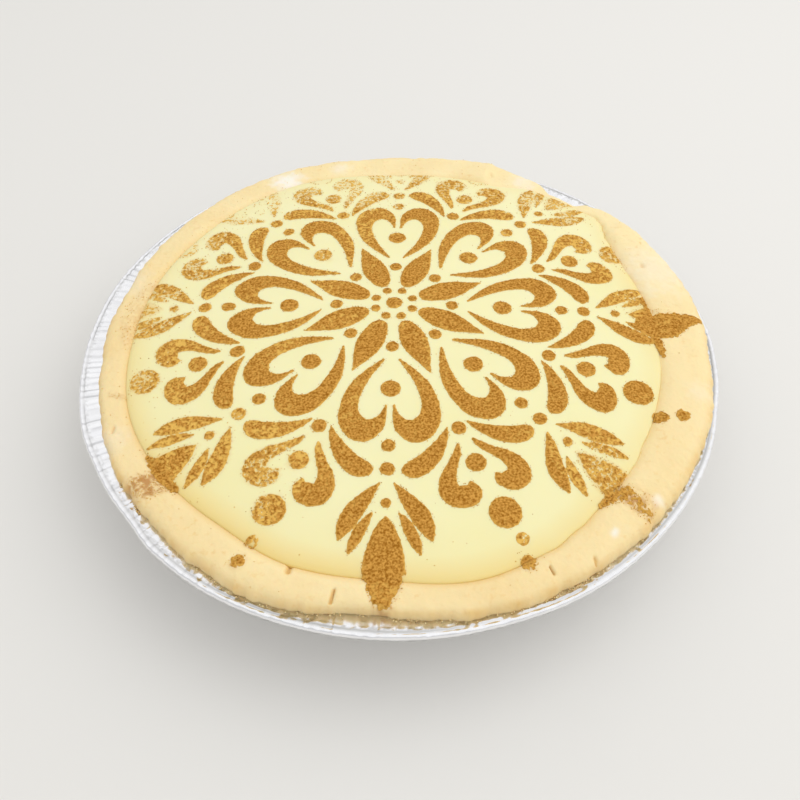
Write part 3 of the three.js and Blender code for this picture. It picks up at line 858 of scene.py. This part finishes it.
def staggered_grid(reach):
    """Points of a grid of near equal triangles over a square."""
    row_step = 0.866
    count = int(2 * reach / POWDER_GRID)
    rows = int(count / row_step)
    x = np.broadcast_to(np.arange(count) * POWDER_GRID - reach, (rows, count)).copy()
    y = np.broadcast_to((np.arange(rows) * POWDER_GRID * row_step - reach)[:, None], (rows, count)).copy()
    x += np.where(np.arange(rows)[:, None] % 2 == 1, POWDER_GRID / 2, 0.0)
    return x, y


def crease_bed(x, y):
    """Level that bears the powder across the crease, where it lies a little deeper."""
    radius, degrees = polar(x, y)
    filled = CREASE_FILL * np.exp(-((radius - around(CUSTARD_EDGE, degrees)) / CREASE_REACH) ** 2)
    return np.maximum(custard_height(x, y), crust_height(x, y)) + filled + POWDER_LIFT


def cinnamon_rosette(material):
    """Stencilled cinnamon, one piece for each kind of motif, and the part that fell on the crust."""
    x, y = staggered_grid(ROSETTE_REACH)
    heart, between = fold(x, y)
    radius, degrees = polar(x, y)
    edge = around(CUSTARD_EDGE, degrees)
    front = np.abs(degrees - FRONT_LEAF) < FRONT_SPREAD
    palmettes = np.max([
        inside_stroke(*heart, PALMETTE_OUTER),
        inside_stroke(*heart, PALMETTE_INNER),
        inside_stroke(*heart, PALMETTE_MIDDLE) - np.where(front, 0, MIDDLE_TRIM),
    ], axis=0)
    spills = inside_spills(x, y)
    rim_dots = inside_rim_dots(x, y)
    taken = cover(x, y)
    bridged = front | (spills > -BRIDGE_SPREAD)
    on_custard = edge - radius - np.where(bridged, BRIDGE_REACH - BRIDGE_LAP, CREASE_GAP)
    fringe = around(CRUST_EDGE, degrees) - FRINGE_INSET - radius + uneven(x, y, RIM_FRINGE)
    on_crust = np.minimum(radius - edge + np.where(bridged, BRIDGE_REACH, -CREASE_GAP), fringe)
    motifs = {
        "cinnamon_petals": inside_stroke(*between, PETAL),
        "cinnamon_hearts": inside_stroke(*heart, HEART_STROKE),
        "cinnamon_leaves": inside_stroke(*heart, SIDE_LEAF),
        "cinnamon_scrolls": inside_stroke(*heart, SCROLL),
        "cinnamon_palmettes": np.maximum(palmettes, spills),
        "cinnamon_dots": np.maximum(inside_dots(heart, between), rim_dots),
    }
    for name, depth in motifs.items():
        powder(name, depth, on_custard, taken, x, y, custard_height, material)
    over_crease = front | (bridged & (radius < edge))
    fallen = np.max([np.where(over_crease, palmettes, OUTSIDE), spills, rim_dots], axis=0)
    powder(
        "cinnamon_on_crust", fallen, on_crust, taken, x, y, crease_bed, material,
        RIM_RAGGED, RIM_BROWN,
    )


def lumps(places, sizes, draw):
    """Points and faces of small uneven lumps, one at each place."""
    count = len(places)
    quarter = np.arange(4)
    x, y = spot(1.0, 360 * draw.random(count)[:, None] + 90 * quarter)
    belt = np.stack([x, y, 0 * x], axis=-1)
    poles = np.broadcast_to([(0.0, 0.0, 1.0), (0.0, 0.0, -1.0)], (count, 2, 3))
    corners = np.concatenate([belt, poles], axis=1)
    shape = corners * draw.uniform(*LUMP_REACH, (count, LUMP_CORNERS, 1)) * sizes[:, None, None]
    following = (quarter + 1) % 4
    above = np.stack([quarter, following, np.full(4, 4)], axis=-1)
    under = np.stack([following, quarter, np.full(4, 5)], axis=-1)
    faces = np.concatenate([above, under]) + LUMP_CORNERS * np.arange(count)[:, None, None]
    return (places[:, None] + shape).reshape(-1, 3), [faces.reshape(-1, 3)]


def loose_grains(material):
    """Single grains of cinnamon, many where a motif is thinly dusted and few elsewhere."""
    draw = np.random.default_rng(19)
    radius = GRAIN_REACH * np.sqrt(draw.random(GRAIN_THROWS))
    degrees = draw.random(GRAIN_THROWS) * 360.0
    x, y = spot(radius, degrees)
    edge = around(CUSTARD_EDGE, degrees)
    inside = np.where(radius < edge + 0.5, inside_motifs(x, y), inside_rim_dots(x, y))
    taken = cover(x, y)
    thin = ease((0.85 - taken) / 0.6) * ease((taken + 0.25) / 0.5)
    far = ease((radius - STRAY_FROM) / STRAY_REACH) * (0.5 + 0.5 * np.cos(np.radians(degrees - STRAY_SIDE)))
    chance = 0.001 + 0.008 * far + thin * (0.5 * ease((inside + 0.6) / 1.0) + 0.04 * ease((inside + 4) / 4))
    chance = np.maximum(chance, 0.4 * ease((inside + 0.7) / 0.7) * (inside < 0.1))
    for share, stations in DUST:
        chance = np.maximum(chance, 0.6 * share * ease((inside_stroke(x, y, stations) + 1.6) / 2.4))
    spills = inside_spills(x, y)
    chance = np.maximum(chance, 0.3 * ease((spills + 0.9) / 0.9) * (spills < 0.3) * (radius > edge))
    kept = (draw.random(GRAIN_THROWS) < chance) & (radius < around(CRUST_EDGE, degrees) - 1)
    x, y, radius, edge = x[kept], y[kept], radius[kept], edge[kept]
    size = draw.uniform(*GRAIN_RADIUS, len(x))
    level = np.where(radius < edge, custard_height(x, y), crust_height(x, y)) + 0.4 * size
    points, faces = lumps(np.column_stack([x, y, level]), size, draw)
    grains = piece("cinnamon_grains", points, faces, material)
    thickness = draw.uniform(0.1, 0.9, len(x)) * np.where(radius < edge, 1, 0.5)
    mark(grains, "thickness", np.repeat(thickness, LUMP_CORNERS))


def pastry_crumbs(material):
    """Crumbs along the broken outer edge of the crust, most of them at the front."""
    draw = np.random.default_rng(23)
    degrees, golden = [], []
    for start, stop, count, least in CRUMB_RUNS:
        degrees.append(draw.uniform(start, stop, count))
        golden.append(draw.uniform(least, least + 0.35, count))
    degrees, golden = np.concatenate(degrees), np.concatenate(golden)
    count = len(degrees)
    reach = np.minimum(crust_outer(degrees) + draw.uniform(-0.9, 0.7, count), around(RIM_EDGE, degrees) - 2.2)
    level = draw.uniform(LIP_UNDERSIDE + 0.2, LIP_TURN - 0.3, count)
    places = np.column_stack([*spot(reach, degrees), level])
    points, faces = lumps(places, draw.uniform(*CRUMB_RADIUS, count), draw)
    crumbs = piece("pastry_crumbs", points, faces, material)
    mark(crumbs, "golden", np.repeat(golden, LUMP_CORNERS))
    for name in ("flour", "dust"):
        mark(crumbs, name, np.zeros(LUMP_CORNERS * count))


def shader(name):
    """New material with its principled shader wired."""
    material = bpy.data.materials.new(name)
    material.use_nodes = True
    return material, material.node_tree, material.node_tree.nodes["Principled BSDF"]


def add(tree, kind, **settings):
    """New node in a tree, with its settings."""
    made = tree.nodes.new(kind)
    for name, value in settings.items():
        setattr(made, name, value)
    return made


def feed(tree, node, inputs):
    """Gives a node's inputs their values, or wires them to the sockets of other nodes."""
    for name, value in inputs.items():
        if isinstance(value, bpy.types.NodeSocket):
            tree.links.new(value, node.inputs[name])
        else:
            node.inputs[name].default_value = value


def new_group(name, inputs, output):
    """Shader node group with named inputs and one output, and the nodes at its two ends."""
    tree = bpy.data.node_groups.new(name, "ShaderNodeTree")
    for socket, kind in inputs.items():
        tree.interface.new_socket(socket, in_out="INPUT", socket_type=kind)
    tree.interface.new_socket(output[0], in_out="OUTPUT", socket_type=output[1])
    return tree, add(tree, "NodeGroupInput").outputs, add(tree, "NodeGroupOutput")


def mottle_group():
    """Two colours in soft patches."""
    colour, number = "NodeSocketColor", "NodeSocketFloat"
    inputs = {"Pale": colour, "Deep": colour, "Scale": number, "Low": number, "High": number}
    tree, entry, leave = new_group("baked_mottle", inputs, ("Colour", colour))
    place = add(tree, "ShaderNodeTexCoord")
    patches = add(tree, "ShaderNodeTexNoise")
    feed(tree, patches, {"Vector": place.outputs["Object"], "Scale": entry["Scale"], "Detail": 4.0})
    spread = add(tree, "ShaderNodeMapRange")
    feed(tree, spread, {"Value": patches.outputs["Fac"], "From Min": entry["Low"], "From Max": entry["High"]})
    blend = add(tree, "ShaderNodeMix", data_type="RGBA")
    feed(tree, blend, {"Factor": spread.outputs["Result"], "A": entry["Pale"], "B": entry["Deep"]})
    feed(tree, leave, {"Colour": blend.outputs["Result"]})
    return tree


def crumb_group():
    """Fine grain of a baked or powdery surface, as a height for a bump."""
    number = "NodeSocketFloat"
    tree, entry, leave = new_group("fine_crumb", {"Scale": number, "Pores": number}, ("Height", number))
    place = add(tree, "ShaderNodeTexCoord")
    grain = add(tree, "ShaderNodeTexNoise")
    feed(tree, grain, {"Vector": place.outputs["Object"], "Scale": entry["Scale"], "Detail": 6.0})
    pores = add(tree, "ShaderNodeTexVoronoi")
    feed(tree, pores, {"Vector": place.outputs["Object"], "Scale": entry["Scale"]})
    pits = add(tree, "ShaderNodeMath", operation="MULTIPLY")
    feed(tree, pits, {0: pores.outputs["Distance"], 1: entry["Pores"]})
    total = add(tree, "ShaderNodeMath", operation="ADD")
    feed(tree, total, {0: grain.outputs["Fac"], 1: pits.outputs["Value"]})
    feed(tree, leave, {"Height": total.outputs["Value"]})
    return tree


def use_group(tree, group, **values):
    """Places a shared group in a material with its own values, and hands on what it puts out."""
    made = add(tree, "ShaderNodeGroup", node_tree=group)
    feed(tree, made, values)
    return made.outputs[0]


def attribute_mix(tree, name, under, over):
    """Blends one colour over another by the numbers stored on the piece under a name."""
    share = add(tree, "ShaderNodeAttribute", attribute_name=name)
    blend = add(tree, "ShaderNodeMix", data_type="RGBA")
    feed(tree, blend, {"Factor": share.outputs["Fac"], "A": under, "B": over})
    return blend.outputs["Result"]


def grain_bump(tree, crumb, scale, pores, strength, distance):
    """Normal of a surface that fine grain raises."""
    grain = use_group(tree, crumb, Scale=scale, Pores=pores)
    raised = add(tree, "ShaderNodeBump")
    feed(tree, raised, {"Height": grain, "Strength": strength, "Distance": distance})
    return raised.outputs["Normal"]


def pastry_finish(mottle, crumb):
    """Pale baked pastry, golden at its crease, slits and outer edge, the crease's gold partly painted shade,
    with flour and dust left on it and painted shade in its slits.
    """
    material, tree, surface = shader("pale_pastry")
    flecks = use_group(tree, mottle, Pale=FLECK_PALE, Deep=FLECK_DEEP, Scale=520.0, Low=0.56, High=0.8)
    patches = use_group(tree, mottle, Pale=PASTRY_PALE, Deep=flecks, Scale=60.0, Low=0.3, High=0.75)
    golden = attribute_mix(tree, "golden", patches, PASTRY_GOLDEN)
    floured = attribute_mix(tree, "flour", golden, FLOUR_WHITE)
    feed(tree, surface, {
        # The dust attribute also lays painted shade in the slits
        "Base Color": attribute_mix(tree, "dust", floured, PASTRY_DUST_AND_SHADE),
        "Roughness": 0.62,
        "Specular IOR Level": 0.25,
        "Subsurface Weight": 0.15,
        "Subsurface Radius": (1.0, 0.6, 0.3),
        "Subsurface Scale": 0.002,
        "Normal": grain_bump(tree, crumb, scale=700.0, pores=0.4, strength=0.35, distance=0.0005),
    })
    return material


def custard_finish(mottle, crumb):
    """Smooth set custard, deeper in colour towards the crust, partly as painted shade, and browned under thin
    powder.
    """
    material, tree, surface = shader("set_custard")
    patches = use_group(tree, mottle, Pale=CUSTARD_PALE, Deep=CUSTARD_DEEP, Scale=28.0, Low=0.35, High=0.7)
    deeper = attribute_mix(tree, "near_crust", patches, CUSTARD_GOLDEN)
    feed(tree, surface, {
        "Base Color": attribute_mix(tree, "dust", deeper, CUSTARD_DUST),
        "Roughness": 0.42,
        "Specular IOR Level": 0.3,
        "Subsurface Weight": 0.2,
        "Subsurface Radius": (1.0, 0.8, 0.35),
        "Subsurface Scale": 0.003,
        "Normal": grain_bump(tree, crumb, scale=420.0, pores=0.2, strength=0.08, distance=0.0003),
    })
    return material


def cinnamon_finish(mottle, crumb):
    """Dry cinnamon powder, golden where it lies thin."""
    material, tree, surface = shader("cinnamon_powder")
    patches = use_group(
        tree, mottle, Pale=CINNAMON_PALE, Deep=CINNAMON_DEEP, Scale=1400.0, Low=0.38, High=0.64
    )
    feed(tree, surface, {
        "Base Color": attribute_mix(tree, "thickness", CINNAMON_THIN, patches),
        "Roughness": 0.95,
        "Specular IOR Level": 0.1,
        "Normal": grain_bump(tree, crumb, scale=1600.0, pores=0.6, strength=0.35, distance=0.0003),
    })
    return material


def foil_finish(mottle, crumb):
    """Bright rolled foil, faintly crinkled, darkened by painted shade in and beside the groove, under the
    bead and on some pleats.
    """
    material, tree, surface = shader("bright_foil")
    rolled = use_group(tree, mottle, Pale=FOIL_BRIGHT, Deep=FOIL_ROLLED, Scale=300.0, Low=0.4, High=0.6)
    feed(tree, surface, {
        "Base Color": attribute_mix(tree, "painted_foil_shade", rolled, FOIL_PAINTED_SHADE),
        "Roughness": 0.2,
        "Metallic": 1.0,
        "Normal": grain_bump(tree, crumb, scale=260.0, pores=0.3, strength=0.15, distance=0.0004),
    })
    return material


def floor_finish():
    """Plain pale floor."""
    material, tree, surface = shader("pale_floor")
    feed(tree, surface, {"Base Color": FLOOR_PALE, "Roughness": 0.8})
    return material


def pale_floor(material):
    """Wide plain floor just under the dish."""
    mesh = bpy.data.meshes.new("pale_floor")
    corners = [(FLOOR_REACH * x, FLOOR_REACH * y, 0) for x, y in ((-1, -1), (1, -1), (1, 1), (-1, 1))]
    mesh.from_pydata(corners, [], [(0, 1, 2, 3)])
    mesh.materials.append(material)
    floor = placed("pale_floor", mesh)
    floor.location.z = -FLOOR_DROP


def side_lamp():
    """Large square soft light aimed at the tart."""
    lamp = bpy.data.lights.new("side_lamp", "AREA")
    lamp.size = LAMP_SIZE
    lamp.energy = LAMP_POWER
    body = placed("side_lamp", lamp)
    body.location = LAMP_PLACE
    body.visible_glossy = False
    body.rotation_mode = "QUATERNION"
    body.rotation_quaternion = body.location.to_track_quat("Z", "Y")


def studio():
    """Soft light all round, brighter from above and the right, with one large lamp high on that side."""
    world = bpy.data.worlds.new("soft_studio")
    world.use_nodes = True
    tree = world.node_tree
    direction = add(tree, "ShaderNodeTexCoord")
    facing = add(tree, "ShaderNodeVectorMath", operation="DOT_PRODUCT")
    feed(tree, facing, {0: direction.outputs["Generated"], 1: LIGHT_SIDE})
    shade = add(tree, "ShaderNodeMapRange", interpolation_type="SMOOTHSTEP")
    feed(tree, shade, {"Value": facing.outputs["Value"], "From Min": 0.0, "From Max": LIGHT_EDGE})
    feed(tree, shade, {"To Min": HORIZON_LIGHT, "To Max": ZENITH_LIGHT})
    seen = add(tree, "ShaderNodeLightPath").outputs["Is Camera Ray"]
    backdrop = add(tree, "ShaderNodeMix", data_type="FLOAT")
    feed(tree, backdrop, {"Factor": seen, "A": shade.outputs["Result"], "B": BACKDROP_LIGHT})
    feed(tree, tree.nodes["Background"], {"Color": LIGHT_WHITE, "Strength": backdrop.outputs["Result"]})
    bpy.context.scene.world = world
    side_lamp()
    bpy.context.scene.view_settings.view_transform = "Standard"


def photo_camera():
    """Camera that looks down on the tart from the front."""
    lens = bpy.data.cameras.new("photo_camera")
    lens.sensor_width = SENSOR
    lens.lens = FOCAL_PIXELS / PICTURE * SENSOR
    lens.clip_start = 0.01
    camera = placed("photo_camera", lens)
    place = Matrix.Translation([MM * value for value in CAMERA_PLACE])
    pitch = Matrix.Rotation(math.radians(CAMERA_PITCH), 4, "X")
    roll = Matrix.Rotation(math.radians(CAMERA_ROLL), 4, "Z")
    camera.matrix_world = place @ (pitch @ roll)
    bpy.context.scene.camera = camera


photo_camera()
studio()
pale_floor(floor_finish())
MOTTLE = mottle_group()
CRUMB = crumb_group()
foil_dish(foil_finish(MOTTLE, CRUMB))
PASTRY = pastry_finish(MOTTLE, CRUMB)
pastry_crust(PASTRY)
pastry_crumbs(PASTRY)
custard_filling(custard_finish(MOTTLE, CRUMB))
CINNAMON = cinnamon_finish(MOTTLE, CRUMB)
cinnamon_rosette(CINNAMON)
loose_grains(CINNAMON)
